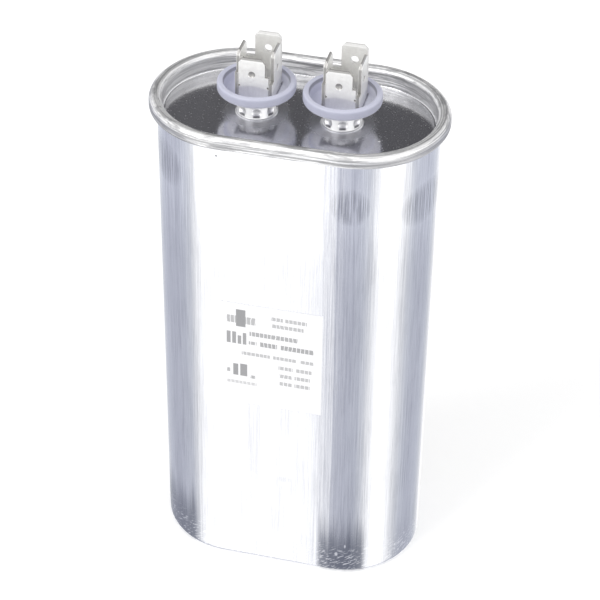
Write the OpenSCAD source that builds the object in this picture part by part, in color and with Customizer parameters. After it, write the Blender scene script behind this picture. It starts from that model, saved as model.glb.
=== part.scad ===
// Oval motor run capacitor: a drawn aluminium case closed by a stamped cover with a
// folded double seam. Two crimped collars in the cover hold plastic cups, and each cup
// carries a folded terminal with four push-on tabs. The oval film winding, its end
// contacts, leads and insulators stand inside.
// Frame: origin in the middle of the base, Z up, X along the oval, -Y is the label side.

/* [Case] */
// Depth of the case, front to back
case_w = 39.6; // [34:0.2:50]
// Length of the case, side to side
case_l = 68.4; // [62:0.2:90]
// Height from the base to the crest of the seam
case_h = 132; // [90:1:170]
// Thickness of the case sheet
case_t = 0.6; // [0.4:0.05:0.8]
// Outside radius between the wall and the bottom
bottom_r = 1.6; // [1.2:0.1:3]

/* [Seam and cover] */
// Thickness of the cover sheet
cover_t = 0.5; // [0.3:0.05:0.6]
// Height of the folded seam
seam_h = 3.3; // [3.1:0.1:4.5]
// Gap between the folded layers
seam_gap = 0.12; // [0.04:0.01:0.16]
// Depth of the groove rolled round the seam
groove_d = 0.14; // [0:0.02:0.2]
// Depth of the cover panel below the crest of the seam
panel_depth = 4.6; // [3.8:0.1:6]
// Inside radius between the chuck wall and the panel
panel_r = 0.7; // [0.4:0.05:1.4]

/* [Collars] */
// Distance between the two terminals
pitch = 20.8; // [20:0.1:26]
// Outside radius of a collar
collar_r = 4.8; // [4.5:0.05:5.6]
// Height of a collar above the panel
collar_h = 3.9; // [3.4:0.1:4.4]
// Number of crimps round a collar
crimps = 8; // [6:1:9]
// Depth of a crimp
crimp_d = 0.5; // [0.3:0.05:0.6]
// Radius of the crimping punch
crimp_r = 2.1; // [1.6:0.1:2.6]
// Height of the crimps' middle above the panel
crimp_z = 2.1; // [1.8:0.1:2.4]
// Turn of the ring of crimps from the front
crimp_turn = 14; // [-20:1:20]
// Rubber left between a crimp and the cup's foot
squeeze = 0.3; // [0.2:0.05:0.6]

/* [Cups] */
// Outside radius of the cup's lip
cup_r = 9.4; // [8.6:0.1:9.6]
// Width of the lip's top face
lip_w = 1.3; // [0.9:0.1:1.8]
// Height of the lip's outer band
lip_h = 1.9; // [1.4:0.1:2.6]
// Height of the lip's top above the panel
cup_top = 8.2; // [7.6:0.1:9.6]
// Depth of the recess inside the cup
cup_depth = 2.8; // [2:0.1:3.2]
// Gap between the terminal's corners and the recess
box_gap = 0.2; // [0.1:0.05:0.4]
// Length of the foot below the panel's upper face
foot_len = 1.7; // [1.4:0.1:2.4]

/* [Terminals] */
// Thickness of the terminal sheet
blade_t = 0.8; // [0.7:0.05:0.9]
// Width of a push-on tab
blade_w = 6.35; // [5.8:0.05:6.4]
// Width of the folded box, left to right
box_w = 9; // [8.6:0.1:9.2]
// Depth of the folded box, front to back
box_d = 9.4; // [9:0.1:9.6]
// Distance of the box to the right of the cup's middle
box_x = 0.35; // [0:0.05:0.4]
// Distance of the box behind the cup's middle
box_y = 0.35; // [0:0.05:0.4]
// Cut corners of the base plate
base_cut = 1; // [0.6:0.1:1.4]
// Height of the left and back walls above the lip
wall_up = 4.1; // [3:0.1:5]
// Height of the front wall above the lip
front_wall_up = 3.5; // [2.4:0.1:4]
// Height of the right wall's front shoulder above the lip
right_wall_up = 1.8; // [1:0.1:4]
// Height of the front tab above the lip
front_up = 8.1; // [7:0.1:10]
// Height of the right tab above the lip
right_up = 9.2; // [7:0.1:10]
// Distance of the right tab behind the box's middle
right_y = 0.35; // [0:0.05:0.6]
// Height of the left tab above the lip
left_up = 8.9; // [7:0.1:10]
// Height of the back tab above the lip
back_up = 10.75; // [9:0.05:12]
// Distance of a tab's hole below its tip
hole_drop = 4.1; // [3.4:0.1:4.6]
// Radius of a tab's hole or dimple
hole_r = 0.95; // [0.8:0.05:1.1]
// Height of a dimple above the lip
dimple_up = 4; // [3:0.1:5]
// Radius of the bend relief notches in the front wall
notch_r = 0.3; // [0.2:0.05:0.4]
// Height of the notches above the lip
notch_up = 0.9; // [0.4:0.1:1.6]
// Size of the cut corners at a tab's tip
tip_cut = 1.15; // [0.6:0.05:1.4]
// Width of the bevel along a tab's tip
tip_bevel = 0.22; // [0.1:0.02:0.3]

/* [Feed-throughs] */
// Radius of the rivet's shank
rivet_r = 1.5; // [1.2:0.1:1.8]
// Radius of the rivet's heads
head_r = 2.5; // [2.2:0.1:2.8]
// Thickness of the rivet's heads
head_t = 0.9; // [0.6:0.1:1.2]
// Reach of the gasket's flange outside the collar
flange_out = 1.45; // [0.9:0.05:1.8]
// Radius of the insulating washer
washer_r = 7.4; // [6.8:0.1:8]
// Thickness of the insulating washer
washer_t = 1.2; // [0.8:0.1:1.6]
// Thickness of the contact tab
tab_t = 0.5; // [0.4:0.05:0.8]
// Width of the contact tab
tab_w = 6; // [5.4:0.1:7]

/* [Winding] */
// Thickness of the liner inside the case
liner_t = 0.4; // [0.2:0.05:0.6]
// Gap between the winding and the liner
winding_gap = 0.75; // [0.7:0.05:1.2]
// Room for the leads between the winding and the barrier plate
head_room = 14.5; // [12:0.5:40]
// Length of the winding's flat core
core_l = 16; // [12:0.5:20]
// Thickness of the winding's flat core
core_w = 4; // [3:0.1:6]
// Wall of the winding's flat core
core_t = 0.8; // [0.5:0.1:1.2]
// Thickness of the sprayed end contacts
spray_t = 0.6; // [0.4:0.1:1]
// Thickness of the bottom and top insulators
board_t = 1.2; // [0.8:0.1:1.6]
// Thickness of the barrier plate
barrier_t = 1.5; // [1:0.1:2]
// Distance from the panel down to the barrier plate
barrier_drop = 8; // [7:0.1:10]
// Width of the lead strips
lead_w = 5; // [4:0.1:5.4]
// Thickness of the lead strips
lead_t = 0.25; // [0.2:0.01:0.3]
// Reach of the leads outside each terminal
lead_out = 6.2; // [5.8:0.1:7]
// Length of a lead's foot
lead_foot = 4; // [3:0.1:4.5]

/* [Label] */
// Width of the label
label_w = 25.6; // [18:0.2:28]
// Height of the label
label_h = 31; // [20:0.5:50]
// Thickness of the label film
label_t = 0.12; // [0.08:0.01:0.2]
// Height of the label's lower edge above the base
label_z = 53.5; // [10:0.5:60]
// Distance of the label's middle to the left of the case's middle
label_left = 1.4; // [0:0.1:1.6]

/* [Hidden] */

$fn = 96;
fit = 0.05;
eps = 0.01;
bend_steps = 6;

end_r = case_w / 2;
half_flat = (case_l - case_w) / 2;

// Seam: layers from the case wall outwards are cover hook, case hook, cover skirt.
fold_x = seam_gap + cover_t / 2;
case_hook_x = 2 * seam_gap + cover_t + case_t / 2;
skirt_x = 3 * seam_gap + 1.5 * cover_t + case_t;
chuck_x = -case_t - seam_gap - cover_t / 2;
case_top = case_h - cover_t - seam_gap - case_t / 2;
cover_top = case_h - cover_t / 2;
seam_low = case_h - seam_h + cover_t / 2;
top_turn = case_top - (case_hook_x + case_t / 2) / 2;
cover_hook_top = top_turn - 0.1;

panel_z = case_h - panel_depth;
lip_z = panel_z + cup_top;
cup_floor = lip_z - cup_depth;
cup_floor_r = norm([box_w / 2 + box_x, box_d / 2 + box_y]) + box_gap;
collar_mid = collar_r - cover_t / 2;
collar_in = collar_r - cover_t;
foot_r = collar_in - crimp_d - squeeze;
flange_r = collar_r + flange_out;
dome_x = collar_r + crimp_r - crimp_d;

foot_low = panel_z - foot_len;
washer_low = foot_low - washer_t;
tab_low = washer_low - tab_t;
lead_x = pitch / 2 + lead_out;

board_top = case_t + board_t;
winding_low = board_top + spray_t;
liner_out = end_r - case_t - fit;
winding_r = liner_out - liner_t - winding_gap;
barrier_top = panel_z - barrier_drop;
liner_top = barrier_top - barrier_t;
winding_top = liner_top - head_room;
winding_h = winding_top - winding_low;
spray_top = winding_top + spray_t;

function unit(v) = v / norm(v);
function left_of(v) = [-v[1], v[0]];

// Points of the arc that rounds corner b of the path a-b-c.
function corner(a, b, c, r, n) =
    let (u = unit(a - b), w = unit(c - b))
    let (half = acos(max(-1, min(1, u * w))) / 2)
    let (s = b + u * r / tan(half), e = b + w * r / tan(half))
    let (m = b + unit(u + w) * r / sin(half))
    let (a0 = atan2(s[1] - m[1], s[0] - m[0]), a1 = atan2(e[1] - m[1], e[0] - m[0]))
    let (turn = (a1 - a0 + 540) % 360 - 180)
    [for (i = [0:n]) m + r * [cos(a0 + turn * i / n), sin(a0 + turn * i / n)]];

// The path p without points that repeat the one before.
function no_repeats(p) = [
    for (i = [0:len(p) - 1])
        if (i == 0 || norm(p[i] - p[i - 1]) > 0.01) p[i]
];

// The path p with corner i rounded to radius r[i]; two corners may meet in a half turn.
function rounded(p, r, n = bend_steps) = no_repeats([
    p[0],
    for (i = [1:len(p) - 2]) each corner(p[i - 1], p[i], p[i + 1], r[i], n),
    p[len(p) - 1]
]);

// The path p moved sideways by d, with mitred corners.
function beside(p, d) = [
    for (i = [0:len(p) - 1])
        let (a = i > 0 ? unit(p[i] - p[i - 1]) : unit(p[1] - p[0]))
        let (b = i < len(p) - 1 ? unit(p[i + 1] - p[i]) : a)
        let (n = left_of(a) + left_of(b))
        p[i] + n * d / (n * left_of(a))
];

// Section of a bent sheet of thickness t along the middle line p.
module sheet(p, t) {
    back = beside(p, -t / 2);
    polygon(concat(beside(p, t / 2), [for (i = [len(back) - 1:-1:0]) back[i]]));
}

// Oval outline, grown or shrunk from the outside of the case by d.
module oval(d) {
    for (s = [-1, 1])
        translate([s * half_flat, 0])
            circle(r = end_r + d);
    square([2 * half_flat, 2 * (end_r + d)], center = true);
}

module oval_plate(z, t, d) {
    translate([0, 0, z])
        linear_extrude(t)
            oval(d);
}

// Carries a section, whose x is measured from the outside of the case wall, round the oval.
module round_the_oval() {
    for (s = [-1, 1])
        translate([s * half_flat, 0, 0])
            rotate([0, 0, -90 * s])
                rotate_extrude(angle = 180)
                    translate([end_r, 0])
                        children();
    for (a = [0, 180])
        rotate([0, 0, a])
            translate([-half_flat, 0, 0])
                rotate([90, 0, 90])
                    linear_extrude(2 * half_flat)
                        translate([end_r, 0])
                            children();
}

module on_terminal(s) {
    translate([s * pitch / 2, 0, 0])
        children();
}

// Drawn can: bottom, wall and the hook folded outwards at its top.
module case() {
    turn = (case_hook_x + case_t / 2) / 2;
    line = rounded([
        [-6, case_t / 2],
        [-case_t / 2, case_t / 2],
        [-case_t / 2, case_top],
        [case_hook_x, case_top],
        [case_hook_x, seam_low + cover_t]
    ], [0, bottom_r - case_t / 2, turn, turn, 0]);
    color("gainsboro") {
        round_the_oval() sheet(line, case_t);
        oval_plate(0, case_t, -5);
    }
}

module cover_section() {
    low_turn = (skirt_x - fold_x) / 2;
    top_turn_r = (skirt_x - chuck_x) / 2;
    floor_z = panel_z - cover_t / 2;
    difference() {
        sheet(rounded([
            [fold_x, cover_hook_top],
            [fold_x, seam_low],
            [skirt_x, seam_low],
            [skirt_x, cover_top],
            [chuck_x, cover_top],
            [chuck_x, floor_z],
            [chuck_x - panel_r - 3, floor_z]
        ], [0, low_turn, low_turn, top_turn_r, top_turn_r, panel_r + cover_t / 2, 0]), cover_t);
        translate([skirt_x + cover_t / 2 + 0.5 - groove_d, seam_low + 0.95])
            circle(r = 0.5, $fn = 32);
    }
}

// Grown or plain crimping punches round one collar.
module punches(grow) {
    for (i = [0:crimps - 1])
        rotate([0, 0, 360 * i / crimps - 90 + crimp_turn])
            translate([dome_x, 0, panel_z + crimp_z])
                sphere(r = crimp_r + grow, $fn = 48);
}

// Neck drawn up from the panel, turned in at the top and crimped round its side.
module collar() {
    line = rounded([
        [collar_r + 3, panel_z - cover_t / 2],
        [collar_mid, panel_z - cover_t / 2],
        [collar_mid, panel_z + collar_h - cover_t / 2],
        [collar_mid - 0.75, panel_z + collar_h - cover_t / 2]
    ], [0, 0.7, 0.45, 0]);
    difference() {
        union() {
            rotate_extrude()
                sheet(line, cover_t);
            intersection() {
                punches(cover_t);
                translate([0, 0, panel_z + crimp_z - crimp_r])
                    cylinder(r = collar_mid, h = collar_h + fit - crimp_z + crimp_r);
            }
        }
        punches(0);
    }
}

// Stamped cover: seam hook, chuck wall, panel and two collars.
module cover() {
    inner = chuck_x - panel_r - 2;
    color("silver") {
        difference() {
            union() {
                round_the_oval() cover_section();
                oval_plate(panel_z - cover_t, cover_t, inner);
            }
            for (s = [-1, 1])
                on_terminal(s)
                    translate([0, 0, panel_z - 1])
                        cylinder(r = collar_r + 2, h = 2);
        }
        for (s = [-1, 1])
            on_terminal(s)
                collar();
    }
}

// Bead of sealing compound in the fold above the cover hook.
module seam_compound() {
    color("dimgray")
        round_the_oval()
            translate([seam_gap + fit / 2, cover_hook_top + eps])
                square([cover_t - fit, 0.2]);
}

// Printed film on the front flat; it follows the wall where it is wider than the flat.
module label() {
    color("white")
        translate([0, 0, label_z])
            linear_extrude(label_h)
                intersection() {
                    difference() {
                        oval(label_t);
                        oval(0);
                    }
                    translate([-label_left - label_w / 2, -end_r - 1])
                        square([label_w, end_r]);
                }
}

// Moulded cup: lip, recess, sloping underside and the foot that stands in the collar.
module cup(s) {
    under = cup_floor - 1.3;
    lip_low = lip_z - lip_h;
    lip_in = cup_r - lip_w;
    color("thistle")
        on_terminal(s)
            rotate_extrude()
                polygon([
                    [rivet_r + fit, foot_low],
                    [foot_r - 0.3, foot_low],
                    [foot_r, foot_low + 0.3],
                    [foot_r, panel_z + collar_h + 0.1],
                    [foot_r + 1.6, panel_z + collar_h + 0.1],
                    [cup_floor_r + 0.5, under],
                    [cup_r - 0.5, lip_low - 0.45],
                    [cup_r - 0.12, lip_low - 0.2],
                    [cup_r, lip_low + 0.15],
                    [cup_r, lip_z - 0.35],
                    [cup_r - 0.12, lip_z - 0.1],
                    [cup_r - 0.38, lip_z],
                    [lip_in + 0.3, lip_z],
                    [lip_in + 0.08, lip_z - 0.1],
                    [lip_in, lip_z - 0.35],
                    [cup_floor_r + 0.25, cup_floor + 0.7],
                    [cup_floor_r, cup_floor + 0.25],
                    [cup_floor_r - 0.4, cup_floor],
                    [rivet_r + fit, cup_floor]
                ]);
}

// Outline of one tab with the wall it rises from; x runs along the wall from w0 to w1,
// the shoulders beside the tab are s0 and s1 above the lip.
module tab_outline(w0, w1, x0, z0, up, s0, s1) {
    polygon([
        [w0, z0],
        [w1, z0],
        [w1, lip_z + s1],
        [x0 + blade_w, lip_z + s1],
        [x0 + blade_w, lip_z + up - tip_cut],
        [x0 + blade_w - tip_cut * 0.8, lip_z + up],
        [x0 + tip_cut * 0.8, lip_z + up],
        [x0, lip_z + up - tip_cut],
        [x0, lip_z + s0],
        [w0, lip_z + s0]
    ]);
}

// A wall and its tab standing on y = 0 and going back by the sheet's thickness.
module blade(w0, w1, x0, up, s0, s1, through) {
    z0 = cup_floor + blade_t / 2;
    tip = lip_z + up;
    hole_x = x0 + blade_w / 2;
    difference() {
        intersection() {
            rotate([90, 0, 0])
                translate([0, 0, -blade_t])
                    linear_extrude(blade_t)
                        tab_outline(w0, w1, x0, z0, up, s0, s1);
            rotate([90, 0, 90])
                translate([0, 0, w0 - 1])
                    linear_extrude(w1 - w0 + 2)
                        polygon([
                            [0, z0],
                            [blade_t, z0],
                            [blade_t, tip - 3 * tip_bevel],
                            [blade_t - tip_bevel, tip],
                            [tip_bevel, tip],
                            [0, tip - 3 * tip_bevel]
                        ]);
        }
        if (through)
            translate([hole_x, -1, tip - hole_drop])
                rotate([-90, 0, 0])
                    cylinder(r = hole_r, h = blade_t + 2, $fn = 32);
        else
            translate([hole_x, -hole_r * 0.6, lip_z + dimple_up])
                sphere(r = hole_r * 1.1, $fn = 32);
    }
}

// One folded terminal: a base plate, four walls round it and a tab rising from each.
module terminal(s) {
    hx = box_w / 2;
    hy = box_d / 2;
    slit = 0.1;
    front = hx - blade_t - slit;
    color("lightgray")
        on_terminal(s)
            translate([box_x, box_y, 0]) {
                difference() {
                    translate([0, 0, cup_floor])
                        linear_extrude(blade_t)
                            polygon([
                                [-hx + base_cut, -hy],
                                [hx - base_cut, -hy],
                                [hx, -hy + base_cut],
                                [hx, hy - base_cut],
                                [hx - base_cut, hy],
                                [-hx + base_cut, hy],
                                [-hx, hy - base_cut],
                                [-hx, -hy + base_cut]
                            ]);
                    translate([-box_x, -box_y, cup_floor - 1])
                        cylinder(r = rivet_r + fit, h = 3, $fn = 48);
                }
                translate([0, -hy, 0])
                    difference() {
                        blade(-front, front, -front, front_up, front_wall_up, front_wall_up, false);
                        for (e = [-1, 1])
                            translate([e * (front - 0.1), -1, lip_z + notch_up])
                                rotate([-90, 0, 0])
                                    cylinder(r = notch_r, h = blade_t + 2, $fn = 24);
                    }
                translate([0, hy - blade_t, 0])
                    blade(-hx, hx, hx - blade_w, back_up, wall_up, wall_up, true);
                translate([-hx, 0, 0])
                    rotate([0, 0, 90])
                        translate([0, -blade_t, 0])
                            blade(-hy, hy - blade_t, -blade_w / 2, left_up, wall_up, wall_up, true);
                translate([hx - blade_t, 0, 0])
                    rotate([0, 0, 90])
                        translate([0, -blade_t, 0])
                            blade(-hy, hy - blade_t, right_y - blade_w / 2, right_up,
                                right_wall_up, wall_up, false);
            }
}

// Rivet through the terminal, the cup, the washer and the contact tab.
module rivet(s) {
    color("gray")
        on_terminal(s)
            rotate_extrude($fn = 48)
                polygon([
                    [0, tab_low - head_t],
                    [head_r - 0.4, tab_low - head_t],
                    [head_r, tab_low - head_t + 0.4],
                    [head_r, tab_low],
                    [rivet_r, tab_low],
                    [rivet_r, cup_floor + blade_t],
                    [head_r, cup_floor + blade_t],
                    [head_r, cup_floor + blade_t + head_t - 0.4],
                    [head_r - 0.4, cup_floor + blade_t + head_t],
                    [0, cup_floor + blade_t + head_t]
                ]);
}

// Rubber sleeve squeezed between the foot and the collar, with a flange under the panel.
module gasket(s) {
    flange_top = panel_z - cover_t;
    sleeve_r = collar_in - fit;
    color("dimgray")
        on_terminal(s)
            difference() {
                rotate_extrude()
                    polygon([
                        [foot_r, foot_low],
                        [flange_r, foot_low],
                        [flange_r, flange_top],
                        [collar_r + 0.6, flange_top],
                        [sleeve_r, flange_top],
                        [sleeve_r, panel_z + collar_h - cover_t - 0.4],
                        [foot_r, panel_z + collar_h - cover_t - 0.4]
                    ]);
                punches(cover_t + fit);
            }
}

module washer(s) {
    color("saddlebrown")
        on_terminal(s)
            translate([0, 0, washer_low])
                difference() {
                    cylinder(r = washer_r, h = washer_t);
                    translate([0, 0, -1])
                        cylinder(r = rivet_r + fit, h = washer_t + 2, $fn = 48);
                }
}

// Flat strip clamped by the rivet; the lead is welded under its outer end.
module contact_tab(s) {
    reach = lead_out + 2;
    color("silver")
        on_terminal(s)
            translate([0, 0, tab_low])
                linear_extrude(tab_t)
                    difference() {
                        union() {
                            circle(r = tab_w / 2);
                            translate([s > 0 ? 0 : -reach, -tab_w / 2])
                                square([reach, tab_w]);
                        }
                        circle(r = rivet_r + fit, $fn = 48);
                    }
}

module strip(line) {
    rotate([90, 0, 0])
        translate([0, 0, -lead_w / 2])
            linear_extrude(lead_w)
                sheet(line, lead_t);
}

// Strip from the top contact of the winding to the left contact tab.
module lead_left() {
    h = lead_t / 2;
    r = 0.6;
    color("silver")
        strip(rounded([
            [-lead_x + lead_foot, spray_top + h],
            [-lead_x, spray_top + h],
            [-lead_x, tab_low - h],
            [-lead_x + lead_foot - 1, tab_low - h]
        ], [0, r, r, 0]));
}

// Strip from the bottom contact, up beside the winding, to the right contact tab.
module lead_right() {
    h = lead_t / 2;
    side_x = half_flat + winding_r + fit + h;
    over = spray_top + 2;
    r = 0.6;
    color("silver")
        strip(rounded([
            [side_x, board_top + fit],
            [side_x, over],
            [lead_x, over],
            [lead_x, tab_low - h],
            [lead_x - lead_foot + 1, tab_low - h]
        ], [0, r, r, r, 0]));
}

// Barrier that stands on the liner; the leads pass up through its slots.
module barrier_plate() {
    color("saddlebrown")
        difference() {
            oval_plate(liner_top, barrier_t, -case_t - 2 * fit);
            for (s = [-1, 1])
                translate([s * lead_x, 0, liner_top])
                    cube([2.4, lead_w + 1.2, 4 * barrier_t], center = true);
        }
}

// Board over the top contact, notched where the leads leave.
module top_insulator() {
    inset = -case_t - fit - liner_t - fit;
    side_x = half_flat + winding_r;
    color("burlywood")
        difference() {
            oval_plate(spray_top + lead_t, board_t, inset);
            translate([-lead_x, 0, spray_top])
                cube([2.4, lead_w + 1.2, 8], center = true);
            translate([side_x - 1, -lead_w / 2 - 0.6, spray_top - 1])
                cube([8, lead_w + 1.2, 8]);
        }
}

module winding_slice(z, t) {
    difference() {
        oval_plate(z, t, winding_r - end_r);
        translate([0, 0, z - 1])
            linear_extrude(t + 2)
                core_outline(fit);
    }
}

module core_outline(d) {
    for (s = [-1, 1])
        translate([s * (core_l - core_w) / 2, 0])
            circle(r = core_w / 2 + d);
    square([core_l - core_w, core_w + 2 * d], center = true);
}

module end_spray_top() {
    color("darkgray")
        winding_slice(winding_top, spray_t);
}

module end_spray_bottom() {
    color("darkgray")
        winding_slice(board_top, spray_t);
}

// Metallised film wound round the flat core and pressed oval.
module winding() {
    color("lightsteelblue")
        winding_slice(winding_low, winding_h);
}

module winding_core() {
    color("ivory")
        translate([0, 0, board_top])
            linear_extrude(winding_h + 2 * spray_t)
                difference() {
                    core_outline(0);
                    core_outline(-core_t);
                }
}

module bottom_insulator() {
    color("burlywood")
        oval_plate(case_t, board_t, -bottom_r - fit);
}

// Sleeve of insulating board between the winding and the case.
module case_liner() {
    color("wheat")
        difference() {
            oval_plate(board_top, liner_top - board_top, liner_out - end_r);
            oval_plate(board_top - 1, liner_top, liner_out - liner_t - end_r);
        }
}

case();
cover();
seam_compound();
label();
cup(-1);  // cup_left
cup(1);  // cup_right
terminal(-1);  // terminal_left
terminal(1);  // terminal_right
rivet(-1);  // rivet_left
rivet(1);  // rivet_right
gasket(-1);  // gasket_left
gasket(1);  // gasket_right
washer(-1);  // washer_left
washer(1);  // washer_right
contact_tab(-1);  // contact_tab_left
contact_tab(1);  // contact_tab_right
lead_left();
lead_right();
barrier_plate();
top_insulator();
end_spray_top();
winding();
winding_core();
end_spray_bottom();
bottom_insulator();
case_liner();
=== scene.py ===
import math

import bmesh
import bpy
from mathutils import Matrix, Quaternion, Vector


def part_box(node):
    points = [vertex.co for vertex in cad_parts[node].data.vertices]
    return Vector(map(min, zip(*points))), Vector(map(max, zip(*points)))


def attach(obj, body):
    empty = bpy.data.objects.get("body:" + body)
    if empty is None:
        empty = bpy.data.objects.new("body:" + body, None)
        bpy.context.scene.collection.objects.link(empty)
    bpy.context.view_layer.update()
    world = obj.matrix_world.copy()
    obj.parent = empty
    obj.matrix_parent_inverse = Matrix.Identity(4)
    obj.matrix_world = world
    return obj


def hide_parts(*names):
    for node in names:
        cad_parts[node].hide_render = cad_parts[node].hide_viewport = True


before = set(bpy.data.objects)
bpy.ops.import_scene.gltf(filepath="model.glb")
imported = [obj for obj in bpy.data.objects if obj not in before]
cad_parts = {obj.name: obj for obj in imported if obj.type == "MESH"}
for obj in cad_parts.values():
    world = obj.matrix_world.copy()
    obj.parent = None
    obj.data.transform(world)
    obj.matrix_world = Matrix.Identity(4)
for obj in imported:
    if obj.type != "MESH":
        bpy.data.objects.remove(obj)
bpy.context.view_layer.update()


# ---------------------------------------------------------------- Case
# Deep drawn aluminium can, oval, about 0.6 mm thick. Drawing and wiping leave fine
# upright lines all round it. The band next to the base is scratched and a little rougher,
# and in bands it is darkened by painted shade, standing for the shaded floor that it
# reflects. The wall carries a few small marks. Its top edge is folded into the seam with
# the cover.
class Wire:
    """An output socket of a finish's nodes. Sums written on it add Math nodes."""

    def __init__(self, finish, socket):
        self.finish, self.socket = finish, socket

    def maths(self, operation, *values):
        return self.finish.node(
            "ShaderNodeMath", {"operation": operation}, dict(enumerate(values)))

    def __add__(self, other):
        return self.maths("ADD", self, other)

    def __radd__(self, other):
        return self.maths("ADD", other, self)

    def __sub__(self, other):
        return self.maths("SUBTRACT", self, other)

    def __rsub__(self, other):
        return self.maths("SUBTRACT", other, self)

    def __mul__(self, other):
        return self.maths("MULTIPLY", self, other)

    def __rmul__(self, other):
        return self.maths("MULTIPLY", other, self)

    def __truediv__(self, other):
        return self.maths("DIVIDE", self, other)

    def __rtruediv__(self, other):
        return self.maths("DIVIDE", other, self)

    def __pow__(self, other):
        return self.maths("POWER", self, other)

    def __neg__(self):
        return self.maths("MULTIPLY", self, -1)

    def __abs__(self):
        return self.maths("ABSOLUTE", self)

    def least(self, other):
        return self.maths("MINIMUM", self, other)

    def most(self, other):
        return self.maths("MAXIMUM", self, other)

    def rise(self, low, high):
        """0 where the value is below low, 1 above high; low may be the larger one."""
        return self.finish.node("ShaderNodeMapRange", {"interpolation_type": "SMOOTHSTEP"}, {
            "Value": self, "From Min": low, "From Max": high})


class Finish:
    """A material with one Principled shader; constant values go on its own sockets."""

    def __init__(self, name, **constants):
        self.material = bpy.data.materials.new(name)
        self.material.use_nodes = True
        self.tree = self.material.node_tree
        self.tree.nodes.clear()
        output = self.tree.nodes.new("ShaderNodeOutputMaterial")
        self.shader = self.tree.nodes.new("ShaderNodeBsdfPrincipled")
        self.tree.links.new(self.shader.outputs[0], output.inputs[0])
        for socket, value in constants.items():
            self.shader.inputs[socket.replace("_", " ")].default_value = value

    def node(self, kind, settings=None, sockets=None, out=0):
        """A node of that type: its settings first, then its sockets' values or links."""
        made = self.tree.nodes.new(kind)
        for name, value in (settings or {}).items():
            if name == "stops":
                ramp = made.color_ramp
                while len(ramp.elements) < len(value):
                    ramp.elements.new(1.0)
                for element, (place, colour) in zip(ramp.elements, value):
                    element.position = place
                    element.color = (*colour, 1.0)
            else:
                setattr(made, name, value)
        for name, value in (sockets or {}).items():
            if isinstance(value, Wire):
                self.tree.links.new(value.socket, made.inputs[name])
            else:
                made.inputs[name].default_value = value
        return Wire(self, made.outputs[out])

    def place(self, centre=(0, 0, 0), grain=(1, 1, 1), turn=(0, 0, 0)):
        """Object coordinates in millimetres from centre, turned, then scaled by grain."""
        here = self.node("ShaderNodeTexCoord", out="Object")
        moved = self.node("ShaderNodeMapping", {}, {
            "Vector": here, "Scale": (1000, 1000, 1000),
            "Location": [-c for c in centre], "Rotation": turn})
        return self.node("ShaderNodeMapping", {}, {"Vector": moved, "Scale": grain})

    def axes(self, vector):
        """Its x, y and z."""
        apart = self.node("ShaderNodeSeparateXYZ", {}, {0: vector})
        return [Wire(self, socket) for socket in apart.socket.node.outputs]

    def joined(self, x, y, z):
        """A vector of three values."""
        return self.node("ShaderNodeCombineXYZ", {}, {0: x, 1: y, 2: z})

    def noise(self, vector, scale=1.0, detail=2.0, rough=0.5, bend=0.0):
        """Soft noise from 0 to 1, about 0.5 on average."""
        return self.node("ShaderNodeTexNoise", {"noise_dimensions": "3D"}, {
            "Vector": vector, "Scale": scale, "Detail": detail, "Roughness": rough,
            "Distortion": bend})

    def blend(self, share, first, second):
        """Colour first where share is 0 and second where it is 1."""
        first = (*first, 1.0) if isinstance(first, tuple) else first
        second = (*second, 1.0) if isinstance(second, tuple) else second
        return self.node("ShaderNodeMix", {"data_type": "RGBA"}, {
            0: share, 6: first, 7: second}, out=2)

    def spots(self, here, *ovals):
        """1 in the middle of any oval, 0 outside all: (middle, size) in millimetres."""
        found, axes = None, self.axes(here)
        for middle, size in ovals:
            x, y, z = [(axis - m) / s for axis, m, s in zip(axes, middle, size)]
            one = (x * x + y * y + z * z).rise(1.0, 0.0)
            found = one if found is None else found.most(one)
        return found

    def bump(self, height):
        """Normals from a height in millimetres."""
        return self.node("ShaderNodeBump", {}, {
            "Strength": 1.0, "Distance": 0.001, "Height": height}, out="Normal")

    def feed(self, **links):
        """Links what changes over the surface to the shader, and gives the material."""
        for socket, wire in links.items():
            self.tree.links.new(wire.socket, self.shader.inputs[socket.replace("_", " ")])
        return self.material


def give(material, *nodes):
    """Puts a finish on CAD nodes."""
    for name in nodes:
        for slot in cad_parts[name].material_slots:
            slot.material = material


drawn = Finish("drawn_aluminium", Metallic=1.0)
here = drawn.place()
x, y, z = drawn.axes(here)
front = y.rise(0.0, -2.0)
fine_lines = drawn.noise(drawn.place(grain=(3.4, 3.4, 0.05)), 1.0, 4.0, 0.7)
wide_lines = drawn.noise(drawn.place(grain=(0.75, 0.75, 0.012)), 1.0, 3.0, 0.55)
streak = (fine_lines * 0.6 + wide_lines * 0.4).rise(0.36, 0.64)
cloud = drawn.noise(drawn.place(grain=(0.10, 0.10, 0.05)), 1.0, 3.0, 0.5)
blotch = drawn.noise(drawn.place(grain=(0.24, 0.24, 0.06)), 1.0, 4.0, 0.6)
grit = drawn.noise(here, 5.0, 2.0, 0.6)
stain = fine_lines.rise(0.62, 0.40) * (0.25 + blotch.rise(0.42, 0.62) * 0.75)

# Three tarnished patches below the seam, broken up by the drawing lines.
tarnish = drawn.spots(
    here, ((17.0, -18.0, 117.0), (5.0, 30.0, 5.5)), ((-29.5, -10.0, 118.5), (6.5, 30.0, 6.5)),
    ((32.0, -4.0, 114.0), (4.5, 30.0, 6.0))) ** 0.6
tarnish = tarnish * fine_lines.rise(0.62, 0.42) * y.rise(6.0, 0.0)

# Painted shade at the foot of the wall, in bands, with a ragged edge 7 to 22 mm up: it
# stands for the shaded floor that the foot reflects. The same mask makes the foot a little
# rougher.
ragged = z + (wide_lines - 0.5) * 14.0 + (fine_lines - 0.5) * 8.0
shade_band_middle = x.rise(10.8, 12.4) * x.rise(24.3, 22.3)
shade_band_left = x.rise(-20.5, -23.5) * 0.85
shade_band_end = x.rise(29.0, 30.5) * 0.15
rough_foot_and_painted_shade = ragged.rise(22.0, 7.0) * shade_band_middle.most(shade_band_left).most(shade_band_end)

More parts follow.
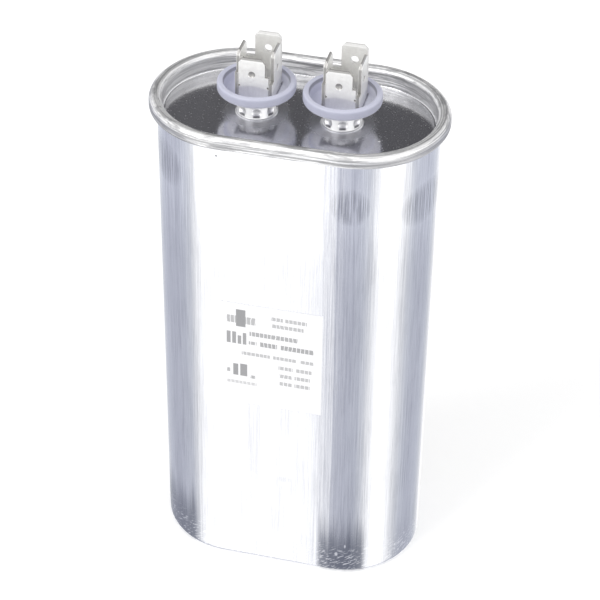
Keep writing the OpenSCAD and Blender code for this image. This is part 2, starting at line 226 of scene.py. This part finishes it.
# Small scratches near the foot, a dark nick under the seam and a scuff lower down.
hairs = drawn.noise(drawn.place(grain=(0.5, 0.5, 2.6), turn=(0.0, 0.5, 0.0)), 1.3, 2.0, 0.5)
scrape = drawn.spots(
    here, ((17.4, -19.0, 7.7), (0.9, 6.0, 0.25)), ((16.4, -19.0, 6.5), (0.5, 6.0, 0.9)),
    ((18.6, -19.0, 9.4), (0.3, 6.0, 0.8)))
scrape = scrape.most(hairs.rise(0.57, 0.63) * z.rise(12.0, 5.0)) * front
nick = drawn.spots(here, ((-14.9, -19.8, 126.2), (0.5, 4.0, 0.35))) * front
scuff = drawn.spots(here, ((2.3, -19.8, 29.7), (2.4, 4.0, 1.2))) * front * grit.rise(0.42, 0.6)

satin, polished = (0.78, 0.785, 0.81), (0.94, 0.945, 0.955)
metal = drawn.blend(streak, satin, polished)
metal = drawn.blend(z.rise(114.0, 92.0) * 0.6, metal, (0.62, 0.625, 0.65))
metal = drawn.blend(stain * (0.4 + z.rise(114.0, 96.0) * 0.32), metal, (0.56, 0.565, 0.59))
metal = drawn.blend(tarnish * 0.75, metal, (0.30, 0.305, 0.33))
metal = drawn.blend(cloud.rise(0.35, 0.7) * 0.2, metal, satin)
# Painted shade: the foot bands go dark grey, a painted reflection of the shaded floor.
metal = drawn.blend(rough_foot_and_painted_shade * 0.92, metal, (0.18, 0.19, 0.225))
metal = drawn.blend(scrape * 0.6, metal, (0.95, 0.95, 0.96))
metal = drawn.blend((nick * 0.85).most(scuff * 0.25), metal, (0.16, 0.16, 0.17))

# The flats of the drawn oval are a little crowned towards their ends, and the crown
# levels off on the round ends.
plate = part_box("barrier_plate")[1] * 1000
straight = plate.x - plate.y
crown_start, crown_fade, crown_curve = 7.0, 5.6, 0.0055
crown_slope = 2 * crown_curve * (straight - crown_start)
towards = (abs(x) - crown_start).most(0.0).least(straight - crown_start)
beyond = (abs(x) - straight).most(0.0).least(crown_fade)
crown = (towards * towards * crown_curve + beyond * crown_slope
         - beyond * beyond * (crown_slope / 2 / crown_fade))
give(drawn.feed(
    Base_Color=metal,
    Roughness=0.19 + streak * 0.05 + rough_foot_and_painted_shade * 0.08 + scrape * 0.15,
    Normal=drawn.bump(fine_lines * 0.012 + wide_lines * 0.035 + grit * 0.002 - crown)),
    "case")


# ---------------------------------------------------------------- Cover
# Stamped tinplate, brighter than the case: seam, chuck wall and panel are one piece with
# two crimped collars. The seaming rolls leave fine lines all round the rim; the panel is
# almost a mirror with fine pits, and the collars lean in a little under their crimps.
sheet_t = 0.5
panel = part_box("cover")[0].z * 1000 + sheet_t
low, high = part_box("rivet_right")
axis_x = (low.x + high.x) * 500
crimps, crimp_turn, boss_r = 8, 76.0, 9.4


def across_axis(x):
    """How far a point is to the right of the nearer terminal's axis."""
    return x - x.maths("SIGN", x) * axis_x


bright = Finish("bright_cover_sheet")
here = bright.place()
x, y, z = bright.axes(here)
up = z - panel
from_spine = ((abs(x) - straight).most(0.0) ** 2.0 + y * y) ** 0.5
rolled = bright.noise(
    bright.joined(from_spine * 2.0, z * 2.0, (x + y) * 0.025), 1.0, 4.0, 0.65)
smeared = bright.noise(
    bright.joined(from_spine * 0.8, z * 1.1, (x - y) * 0.14), 1.0, 3.0, 0.6)
rub = bright.noise(bright.place(grain=(0.9, 0.9, 2.2)), 1.0, 4.0, 0.6)
haze = bright.noise(bright.place(grain=(0.12, 0.12, 0.12)), 1.0, 3.0, 0.55)
speckle = bright.noise(here, 5.5, 1.0, 0.5).rise(0.35, 0.65)
uneven = bright.noise(here, 0.9, 2.0, 0.5)
cells = {"voronoi_dimensions": "2D"}
fine_pits = bright.node("ShaderNodeTexVoronoi", cells, {"Vector": here, "Scale": 1.7})
wide_pits = bright.node("ShaderNodeTexVoronoi", cells, {"Vector": here, "Scale": 0.55})
pits = (fine_pits.rise(0.30, 0.05) * uneven.rise(0.40, 0.75) * 0.6).most(
    wide_pits.rise(0.09, 0.04))

on_panel = up.rise(0.5, 0.1) * up.rise(-1.4, -0.4)
off_panel = 1 - on_panel
cup_x = across_axis(x)
from_cup = (cup_x * cup_x + y * y) ** 0.5
on_collar = (from_cup.rise(5.7, 5.3) * from_cup.rise(3.4, 3.8) * up.rise(0.1, 0.4)
             * up.rise(5.6, 4.6))
around = y.maths("ARCTAN2", y, cup_x) + math.radians(crimp_turn)
crimp = x.maths("COSINE", around * crimps) * 0.5 + 0.5
crimp_hollow_shade = on_collar * crimp.rise(0.30, 0.75) * up.rise(1.0, 1.4)
crimp_heel_shadow = on_collar * crimp.rise(0.45, 0.75) * up.rise(0.65, 0.85) * up.rise(1.35, 1.1)
near_collar = on_panel * from_cup.rise(9.6, 7.2)
ends = abs(x).rise(17.0, 27.0) * up.rise(3.9, 3.1) * off_panel * (1 - on_collar)

sheet_colour = bright.blend(rub.rise(0.3, 0.7), (0.86, 0.86, 0.865), (0.98, 0.975, 0.965))
sheet_colour = bright.blend(rolled.rise(0.53, 0.40) * 0.75, sheet_colour, (0.30, 0.30, 0.305))
sheet_colour = bright.blend(smeared.rise(0.53, 0.40) * 0.6, sheet_colour, (0.27, 0.27, 0.28))
sheet_colour = bright.blend(ends * 0.62, sheet_colour, (0.36, 0.36, 0.375))
panel_colour = bright.blend(speckle, (0.76, 0.76, 0.78), (0.90, 0.90, 0.915))
# Painted reflection: the panel is paler towards its left end.
panel_colour = bright.blend(x.rise(-12.0, -24.0) * 0.8, panel_colour, (0.99, 0.99, 1.0))
sheet_colour = bright.blend(on_panel, sheet_colour, panel_colour)
sheet_colour = bright.blend(on_panel * pits * 0.5, sheet_colour, (0.97, 0.97, 0.98))
sheet_colour = bright.blend(on_collar, sheet_colour, (0.97, 0.97, 0.97))
# Painted shade in the hollows of the crimps, and a painted shadow along their lower edge.
sheet_colour = bright.blend(crimp_hollow_shade * 0.65, sheet_colour, (0.42, 0.42, 0.45))
sheet_colour = bright.blend(crimp_heel_shadow * 0.85, sheet_colour, (0.10, 0.10, 0.11))

# The panel rises slightly towards each collar, and a small bead of metal stands on it.
boss = on_panel * (boss_r - from_cup).most(0.0) ** 2.0 * 0.010
lean = on_collar * up * -0.45
bead = bright.spots(here, ((20.6, -5.8, panel), (0.34, 0.34, 1.0)))
rolled_marks = off_panel * (1 - on_collar) * (rub * 0.015 + rolled * 0.07 + smeared * 0.10)
give(bright.feed(
    Base_Color=sheet_colour,
    Metallic=1 - off_panel * (0.35 - on_collar * 0.15),
    Roughness=(off_panel * (0.38 + rub * 0.08 - on_collar * 0.06)
               + on_panel * (0.12 + haze * 0.05 + pits * 0.26)
               + near_collar * 0.14 + bead * 0.3),
    Normal=bright.bump(rolled_marks + haze * 0.03 + bead * 0.15 + lean + boss)),
    "cover")


# ---------------------------------------------------------------- Seam compound
# Sealing compound run into the fold before it is rolled shut: a matt dark bead of rubber
# that the finished seam hides.
sealant = Finish("sealing_compound", Specular_IOR_Level=0.4)
grain = sealant.noise(sealant.place(), 4.0, 3.0)
give(sealant.feed(
    Base_Color=sealant.blend(grain, (0.10, 0.10, 0.10), (0.16, 0.155, 0.15)),
    Roughness=0.6 + grain * 0.2,
    Normal=sealant.bump(grain * 0.03)),
    "seam_compound")


# ---------------------------------------------------------------- Label
# Thin satin film stuck on the front flat. Its print is plain: solid blocks and rows of
# small grey bars, with no wording.
low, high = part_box("label")
label_w, label_h = (high.x - low.x) * 1000, (high.z - low.z) * 1000
film_print = Finish("printed_film", Roughness=0.34, Coat_Weight=0.25, Coat_Roughness=0.25)
here = film_print.place(centre=(low.x * 1000, 0, low.z * 1000))
x, y, z = film_print.axes(here)
weave = film_print.noise(here, 9.0, 2.0, 0.6)
patch = film_print.noise(here, 0.35, 3.0, 0.5)
gaps = x.maths("SINE", x * 6.0 + patch * 6.0).rise(-0.98, -0.75)


def bars(*rows):
    """Ink of plain bars: left, low, right and high in millimetres, then how dark."""
    blur, ink = 0.06, None
    for left, low, right, high, dark in rows:
        one = (x.rise(left - blur, left + blur) * x.rise(right + blur, right - blur)
               * z.rise(low - blur, low + blur) * z.rise(high + blur, high - blur) * dark)
        ink = one if ink is None else ink.most(one)
    return ink


blocks = bars(
    (3.8, 24.0, 6.2, 29.2, 0.76),
    (1.4, 18.6, 2.4, 22.2, 0.71), (2.8, 18.6, 3.8, 22.2, 0.71), (4.2, 18.6, 5.1, 21.2, 0.71),
    (5.5, 18.6, 6.4, 22.2, 0.71), (3.0, 8.6, 4.3, 12.2, 0.74), (4.8, 8.6, 6.6, 12.4, 0.74))
broken_bars = gaps * bars(
    (1.4, 25.0, 8.8, 27.2, 0.55), (12.6, 27.3, 15.6, 28.4, 0.5), (16.2, 27.3, 21.6, 28.4, 0.5),
    (12.8, 25.2, 20.8, 26.3, 0.5), (7.2, 21.6, 19.4, 22.9, 0.62),
    (7.0, 18.9, 9.0, 19.9, 0.6), (9.8, 18.7, 14.2, 20.1, 0.66), (15.1, 18.7, 23.4, 20.1, 0.66),
    (5.2, 15.4, 12.4, 16.4, 0.5), (13.2, 15.4, 19.2, 16.4, 0.5), (20.0, 15.4, 23.4, 16.4, 0.5),
    (14.6, 12.4, 18.2, 13.5, 0.5), (19.0, 12.4, 23.0, 13.5, 0.5),
    (14.8, 9.9, 18.0, 11.0, 0.5), (18.7, 9.9, 22.6, 11.0, 0.5),
    (14.8, 7.5, 18.0, 8.6, 0.5), (18.7, 7.5, 22.6, 8.6, 0.5),
    (1.4, 9.4, 2.2, 10.6, 0.6), (7.4, 8.2, 8.8, 9.2, 0.6), (1.4, 6.0, 9.0, 6.9, 0.36))
ink = blocks.most(broken_bars) * (0.86 + weave * 0.24)
edge = x.least(label_w - x).least(z.least(label_h - z)).rise(0.0, 0.5)
pale = film_print.blend(patch, (0.95, 0.95, 0.965), (0.98, 0.98, 0.985))
pale = film_print.blend(edge, (0.91, 0.91, 0.93), pale)
give(film_print.feed(
    Base_Color=film_print.blend(ink, pale, (0.10, 0.10, 0.11)),
    Normal=film_print.bump(weave * 0.006 + patch * 0.02)),
    "label")


# ---------------------------------------------------------------- Cups
# Moulded insulating cups in lavender grey plastic, half gloss: turned forms with a full
# round lip, a recess for the terminal and a shallow cone down to the collar. Painted shade
# lays thin dark lines inside, along the inner edge of the lip and round the foot of the
# terminal; painted light makes the recess, the underside and the top of the lip paler.
low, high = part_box("cup_right")
foot_low = low.z * 1000
cup_r = high.x * 1000 - axis_x
lip_z = high.z * 1000 + 0.3
rim_low = lip_z - 2.15
low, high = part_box("terminal_right")
seat = low.z * 1000
box_w, box_d = (high.x - low.x) * 1000, (high.y - low.y) * 1000
box_x, box_y = (low.x + high.x) * 500 - axis_x, (low.y + high.y) * 500
bore_r, foot_r, recess_r, lip_in = 1.55, 3.5, 7.35, 8.0

moulded = Finish("moulded_lavender_plastic", Specular_IOR_Level=0.5)
here = moulded.place()
x, y, z = moulded.axes(here)
mottle = moulded.noise(here, 0.55, 3.0, 0.55)
skin = moulded.noise(here, 7.0, 3.0, 0.6)
cup_x = across_axis(x)
from_cup = (cup_x * cup_x + y * y) ** 0.5
lip_top = z.rise(lip_z - 0.45, lip_z - 0.05)
wear = lip_top * skin.rise(0.45, 0.75)
# Painted shade along the inner edge of the lip, and a painted shadow round the terminal's foot
# on the floor of the recess.
lip_edge_shade = (from_cup.rise(lip_in - 0.45, lip_in - 0.2)
            * from_cup.rise(lip_in + 0.02, lip_in - 0.07) * z.rise(lip_z - 1.3, lip_z - 0.7))
off_box = (abs(cup_x - box_x) - box_w / 2).most(abs(y - box_y) - box_d / 2)
terminal_foot_shadow = off_box.rise(0.55, 0.10) * z.rise(seat + 0.4, seat + 0.1)
inside = from_cup.rise(lip_in, lip_in - 0.1) * z.rise(seat - 0.8, seat - 0.3)
underside_painted_light = (z.rise(rim_low + 0.15, rim_low - 0.25) * from_cup.rise(foot_r - 0.1, foot_r + 0.1)
           * (1 - inside))
# Painted light: the inside of the recess is paler than the outside, and paler still towards the
# right.
recess = moulded.blend(cup_x.rise(-3.0, 7.0), (0.64, 0.65, 0.79), (0.90, 0.91, 1.0))
plastic = moulded.blend(mottle, (0.49, 0.50, 0.62), (0.56, 0.57, 0.69))
plastic = moulded.blend(inside * 0.8, plastic, recess)
# Painted light: the underside of the cup is made paler.
plastic = moulded.blend(underside_painted_light * 0.8, plastic, (0.84, 0.84, 0.89))
# Painted highlight: the top of the lip is made paler.
plastic = moulded.blend(lip_top * 0.35, plastic, (0.68, 0.69, 0.81))
plastic = moulded.blend(wear * 0.25, plastic, (0.80, 0.80, 0.89))
# Painted shade: thin dark lines along the inner edge of the lip and round the terminal's foot.
plastic = moulded.blend((lip_edge_shade * 0.65).most(terminal_foot_shadow * 0.75), plastic, (0.16, 0.16, 0.20))
lavender = moulded.feed(
    Base_Color=plastic,
    Roughness=0.34 + mottle * 0.10 + skin * 0.06,
    Normal=moulded.bump(skin * 0.008 + mottle * 0.05))


def turned(name, axis, outline, rounds):
    """A closed form spun about an upright axis, with some of its rings rounded."""
    mesh = bmesh.new()
    line = [mesh.verts.new(((axis + r) / 1000, 0, h / 1000)) for r, h in outline]
    edges = [mesh.edges.new(pair) for pair in zip(line, line[1:] + line[:1])]
    bmesh.ops.spin(mesh, geom=line + edges, cent=(axis / 1000, 0, 0), axis=(0, 0, 1),
                   angle=2 * math.pi, steps=96, use_merge=True)
    bmesh.ops.remove_doubles(mesh, verts=mesh.verts, dist=1e-6)
    bmesh.ops.recalc_face_normals(mesh, faces=mesh.faces)
    near = 2e-5
    for (r, h), radius, steps in rounds:
        ring = [e for e in mesh.edges if all(
            abs(math.hypot(v.co.x - axis / 1000, v.co.y) - r / 1000) < near
            and abs(v.co.z - h / 1000) < near for v in e.verts)]
        bmesh.ops.bevel(mesh, geom=ring, offset=radius / 1000, segments=steps, profile=0.5,
                        affect="EDGES", material=-1)
    shape = bpy.data.meshes.new(name)
    mesh.to_mesh(shape)
    mesh.free()
    shape.shade_smooth()
    shape.set_sharp_from_angle(angle=math.radians(35))
    made = bpy.data.objects.new(name, shape)
    bpy.context.scene.collection.objects.link(made)
    return made


cone_low, cone_high = (5.0, lip_z - 4.48), (7.7, lip_z - 3.45)
lip_out, lip_inner = (cup_r, lip_z), (lip_in, lip_z)
shoulder, recess_foot = (cup_r, rim_low), (recess_r, seat)
outline = [
    (bore_r, foot_low), (foot_r - 0.3, foot_low), (foot_r, foot_low + 0.3),
    (foot_r, cone_low[1] - 0.02), cone_low, cone_high, shoulder, lip_out, lip_inner,
    recess_foot, (bore_r, seat)]
rounds = [(lip_out, 0.6, 6), (lip_inner, 0.22, 3), (shoulder, 0.3, 4), (cone_high, 0.5, 4),
          (recess_foot, 0.5, 4)]
for side, axis in (("left", -axis_x), ("right", axis_x)):
    cup = turned("cup_moulding_" + side, axis, outline, rounds)
    cup.data.materials.append(lavender)
    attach(cup, "root")
    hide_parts("cup_" + side)


# ---------------------------------------------------------------- Terminals
# Folded from 0.8 mm brass strip, tin plated: a box of four walls, each with a push-on
# tab. The plating is satin and faintly mottled, and the sheared edges are dark. Near the
# foot it carries a painted reflection of the lavender cup and is more metallic.
blade_t, front_half = 0.8, 3.64
wall_x, wall_y = (box_w - blade_t) / 2, (box_d - blade_t) / 2
tinned = Finish("tin_plated_brass")
here = tinned.place()
x, y, z = tinned.axes(here)
grained = tinned.noise(tinned.place(grain=(1.4, 1.4, 0.35)), 1.0, 4.0, 0.6)
spangle = tinned.noise(here, 1.1, 3.0, 0.5)
pores = tinned.noise(here, 9.0, 2.0, 0.6)
across = across_axis(x) - box_x
along = y - box_y


def in_wall(distance):
    """1 between a wall's two faces, from the distance to its middle."""
    return abs(distance).rise(0.36, 0.30)


near_front = in_wall(along + wall_y) * abs(across).rise(front_half + 0.04, front_half)
near_back = in_wall(along - wall_y)
near_sides = in_wall(abs(across) - wall_x) * along.rise(wall_y - 0.44, wall_y - 0.50)
sheared = near_front.most(near_back).most(near_sides) * z.rise(seat + 0.7, seat + 0.9)
foot_band_painted_reflection = (z + across * across * 0.055).rise(seat + 4.1, seat + 3.5)
tin = tinned.blend(spangle.rise(0.3, 0.7), (0.955, 0.95, 0.93), (0.99, 0.985, 0.965))
tin = tinned.blend(pores.rise(0.64, 0.76) * 0.30, tin, (0.72, 0.70, 0.66))
# Painted reflection: a lavender grey near the foot, where the walls face the cup.
tin = tinned.blend(foot_band_painted_reflection * (0.10 + grained * 0.35), tin, (0.50, 0.50, 0.57))
tin = tinned.blend(grained.rise(0.40, 0.62) * 0.14, tin, (0.80, 0.79, 0.77))
tin = tinned.blend(sheared * (0.8 - near_back * 0.6), tin, (0.30, 0.29, 0.28))
give(tinned.feed(
    Base_Color=tin,
    Metallic=0.47 + foot_band_painted_reflection * 0.22 - along.rise(3.6, 3.9) * 0.12,
    Roughness=0.27 + grained * 0.12 + spangle * 0.08,
    Normal=tinned.bump(grained * 0.05 + spangle * 0.07 + pores * 0.006)),
    "terminal_left", "terminal_right")


# ---------------------------------------------------------------- Rivets
# Zinc plated steel rivets clamp the terminal, cup, washer and contact tab together; the
# upper head shows in the middle of the terminal's base.
zinced = Finish("zinc_plated_steel", Metallic=1.0)
lathed = zinced.noise(zinced.place(grain=(1.2, 1.2, 3.0)), 1.0, 4.0, 0.6)
give(zinced.feed(
    Base_Color=zinced.blend(lathed, (0.58, 0.585, 0.60), (0.74, 0.74, 0.74)),
    Roughness=0.24 + lathed * 0.14,
    Normal=zinced.bump(lathed * 0.03)),
    "rivet_left", "rivet_right")


# ---------------------------------------------------------------- Gaskets
# Rubber sleeves that the crimps of the collar squeeze on the cup's foot; black, matt,
# with the slight bloom of moulded rubber.
rubber = Finish("gasket_rubber", Specular_IOR_Level=0.35)
bloom = rubber.noise(rubber.place(), 1.6, 4.0, 0.6)
give(rubber.feed(
    Base_Color=rubber.blend(bloom, (0.035, 0.035, 0.037), (0.085, 0.083, 0.08)),
    Roughness=0.55 + bloom * 0.2,
    Normal=rubber.bump(bloom * 0.04)),
    "gasket_left", "gasket_right")


# ---------------------------------------------------------------- Washers and boards
# Punched from pressed fibre board: the washers under the panel, the barrier plate that
# stands on the liner, and the insulators above and below the winding.
board = Finish("pressed_fibre_board", Specular_IOR_Level=0.3)
fibre = board.noise(board.place(grain=(0.5, 2.2, 1.0)), 1.0, 5.0, 0.65, 0.6)
fleck = board.noise(board.place(), 3.0, 2.0, 0.5)
brown = board.blend(fibre.rise(0.3, 0.7), (0.36, 0.235, 0.125), (0.52, 0.36, 0.205))
give(board.feed(
    Base_Color=board.blend(fleck.rise(0.62, 0.72) * 0.5, brown, (0.20, 0.12, 0.06)),
    Roughness=0.72 + fibre * 0.15,
    Normal=board.bump(fibre * 0.05 + fleck * 0.02)),
    "washer_left", "washer_right", "barrier_plate", "top_insulator", "bottom_insulator")


# ---------------------------------------------------------------- Contact tabs and leads
# Soft tinned strip: the tabs are clamped by the rivets and the leads are welded under
# them and on the winding's sprayed ends. Brighter and softer than the terminals.
strip = Finish("soft_tinned_strip", Metallic=1.0)
drag = strip.noise(strip.place(grain=(0.5, 3.0, 0.5)), 1.0, 4.0, 0.6)
blush = strip.noise(strip.place(), 0.9, 3.0, 0.5)
give(strip.feed(
    Base_Color=strip.blend(blush, (0.74, 0.73, 0.69), (0.88, 0.87, 0.84)),
    Roughness=0.26 + drag * 0.16,
    Normal=strip.bump(drag * 0.02 + blush * 0.03)),
    "contact_tab_left", "contact_tab_right", "lead_left", "lead_right")


# ---------------------------------------------------------------- Winding
# Metallised film wound on a flat plastic core, its two ends sprayed with zinc to join
# the turns, all standing in a sleeve of kraft paper.
wound = Finish("metallised_film", Metallic=0.55, Coat_Weight=0.4, Coat_Roughness=0.15)
turns = wound.noise(wound.place(grain=(1.5, 1.5, 0.02)), 1.0, 3.0, 0.6)
sheen = wound.noise(wound.place(grain=(0.08, 0.08, 0.25)), 1.0, 3.0, 0.5)
give(wound.feed(
    Base_Color=wound.blend(sheen, (0.58, 0.61, 0.68), (0.74, 0.75, 0.79)),
    Roughness=0.22 + turns * 0.14,
    Normal=wound.bump(turns * 0.03 + sheen * 0.08)),
    "winding")

sprayed = Finish("sprayed_zinc", Metallic=0.8)
drops = sprayed.noise(sprayed.place(), 2.4, 5.0, 0.7)
give(sprayed.feed(
    Base_Color=sprayed.blend(drops.rise(0.3, 0.7), (0.40, 0.40, 0.415), (0.62, 0.62, 0.63)),
    Roughness=0.55 + drops * 0.25,
    Normal=sprayed.bump(drops * 0.16)),
    "end_spray_top", "end_spray_bottom")

natural = Finish("natural_core_plastic", Specular_IOR_Level=0.45)
flow = natural.noise(natural.place(grain=(1, 1, 0.1)), 0.8, 3.0, 0.5)
give(natural.feed(
    Base_Color=natural.blend(flow, (0.82, 0.81, 0.74), (0.88, 0.87, 0.81)),
    Roughness=0.42 + flow * 0.12,
    Normal=natural.bump(flow * 0.03)),
    "winding_core")

kraft = Finish("kraft_sleeve", Specular_IOR_Level=0.25)
pulp = kraft.noise(kraft.place(grain=(0.8, 0.8, 2.4)), 1.0, 5.0, 0.65, 0.8)
give(kraft.feed(
    Base_Color=kraft.blend(pulp.rise(0.3, 0.7), (0.62, 0.51, 0.35), (0.74, 0.64, 0.47)),
    Roughness=0.78 + pulp * 0.12,
    Normal=kraft.bump(pulp * 0.04)),
    "case_liner")


# ---------------------------------------------------------------- Studio
# Not part of the object: a pale floor, soft light from all round with one key lamp, and
# a tent of pale and grey cards that only polished surfaces see.
def stage_piece(name, mesh, finish):
    shape = bpy.data.meshes.new(name)
    mesh.to_mesh(shape)
    mesh.free()
    made = bpy.data.objects.new(name, shape)
    bpy.context.scene.collection.objects.link(made)
    shape.materials.append(finish)
    return made


floor_half, tent_radius = 4.0, 3.0
floor_lift = (0.28, 0.28, 0.28, 1.0)
paper = Finish("pale_floor", Roughness=0.9, Specular_IOR_Level=0.1, Emission_Color=floor_lift)
tooth = paper.noise(paper.place(), 0.8, 3.0, 0.5)
seen = paper.node("ShaderNodeLightPath", out="Is Camera Ray")
paper.tree.links.new(seen.socket, paper.shader.inputs["Emission Strength"])
paper.feed(Base_Color=paper.blend(tooth, (0.90, 0.90, 0.90), (0.92, 0.92, 0.92)))
sheet = bmesh.new()
bmesh.ops.create_grid(sheet, x_segments=1, y_segments=1, size=floor_half)
floor = stage_piece("floor", sheet, paper.material)
floor.visible_glossy = False

# The tent: cards at bearings in degrees from the front, positive to the right, a paler
# ceiling over them, and a black card high up behind.
WHITE, PALE, GREY, DEEP = (1.6,) * 3, (0.92, 0.93, 0.96), (0.68, 0.71, 0.80), (0.58, 0.60, 0.70)
cards = [
    (-180, WHITE), (-165, WHITE), (-150, PALE), (-135, GREY), (-110, DEEP), (-84, DEEP),
    (-66, GREY), (-56, PALE), (-46, WHITE), (-7, WHITE), (-3, DEEP), (16, DEEP), (28, GREY),
    (40, PALE), (48, WHITE), (74, WHITE), (87, PALE), (100, GREY), (122, DEEP),
    (146, GREY), (160, PALE), (172, WHITE), (180, WHITE)]
overhead = [(0.0, (0.80, 0.81, 0.84)), (0.35, (0.95, 0.95, 0.96)), (1.0, (1.1, 1.1, 1.1))]
black_card, black_card_way = (0.10, 0.10, 0.108), (-0.1826, 0.7768, 0.6027)

tent = Finish("card_tent", Base_Color=(0, 0, 0, 1), Roughness=1.0, Specular_IOR_Level=0.0,
              Emission_Strength=1.0)
way = tent.node("ShaderNodeVectorMath", {"operation": "NORMALIZE"}, {
    0: tent.node("ShaderNodeTexCoord", out="Object")})
x, y, z = tent.axes(way)
bearing = x.maths("ARCTAN2", x, -y) / (2 * math.pi) + 0.5
tilt = z.maths("ARCSINE", z) * (180 / math.pi)
walls = tent.node("ShaderNodeValToRGB", {
    "stops": [((degrees + 180) / 360, card) for degrees, card in cards]}, {0: bearing})
ceiling = tent.node("ShaderNodeValToRGB", {"stops": overhead}, {0: tilt / 90})
towards_black = tent.node("ShaderNodeVectorMath", {"operation": "DOT_PRODUCT"}, {
    0: way, 1: black_card_way}, out="Value")
ceiling = tent.blend(towards_black.rise(0.80, 0.90), ceiling, black_card)
tent.feed(Emission_Color=tent.blend(tilt.rise(-4.0, 10.0), walls, ceiling))
tent.material.cycles.emission_sampling = "NONE"
ball = bmesh.new()
bmesh.ops.create_icosphere(ball, subdivisions=4, radius=tent_radius)
tent_ball = stage_piece("card_tent", ball, tent.material)
for unseen_by in ("camera", "diffuse", "transmission", "volume_scatter", "shadow"):
    setattr(tent_ball, "visible_" + unseen_by, False)


def aimed(way, roll=0.0):
    """The turn of a lamp or camera that looks along a way, rolled by some degrees."""
    level = Vector(way).to_track_quat("-Z", "Y")
    return level @ Quaternion((0, 0, 1), math.radians(roll))


def lamp(name, place, width, watts):
    """A square lamp that looks at the case, a little above its middle."""
    light = bpy.data.lights.new(name, "AREA")
    light.shape, light.size, light.energy = "SQUARE", width, watts
    made = bpy.data.objects.new(name, light)
    made.location = place
    made.rotation_mode = "QUATERNION"
    made.rotation_quaternion = aimed(Vector((0, 0, 0.08)) - Vector(place))
    bpy.context.scene.collection.objects.link(made)


lamp("key_lamp", (-0.7, -0.8, 1.1), width=0.7, watts=8.0)
lamp("fill_lamp", (1.0, -0.5, 0.9), width=0.8, watts=3.5)

# The surround lights the object softly from all round, and looks white to the camera.
world = bpy.data.worlds.new("soft_surround")
bpy.context.scene.world = world
world.use_nodes = True
wires = world.node_tree
wires.nodes.clear()
camera_ray = wires.nodes.new("ShaderNodeLightPath").outputs["Is Camera Ray"]
either = wires.nodes.new("ShaderNodeMixShader")
surround = wires.nodes.new("ShaderNodeOutputWorld")
wires.links.new(camera_ray, either.inputs[0])
for socket, strength in ((1, 0.70), (2, 1.0)):
    shade = wires.nodes.new("ShaderNodeBackground")
    shade.inputs["Color"].default_value = (1, 1, 1, 1)
    shade.inputs["Strength"].default_value = strength
    wires.links.new(shade.outputs[0], either.inputs[socket])
wires.links.new(either.outputs[0], surround.inputs[0])

scene = bpy.context.scene
scene.view_settings.view_transform = "Standard"
camera = bpy.data.cameras.new("camera")
camera.sensor_width, camera.lens = 36.0, 121.84
eye = bpy.data.objects.new("camera", camera)
scene.collection.objects.link(eye)
eye.location = (0.0946, -0.3987, 0.3824)
eye.rotation_mode = "QUATERNION"
eye.rotation_quaternion = aimed((-0.18255, 0.77681, -0.60270), roll=0.914)
scene.camera = eye
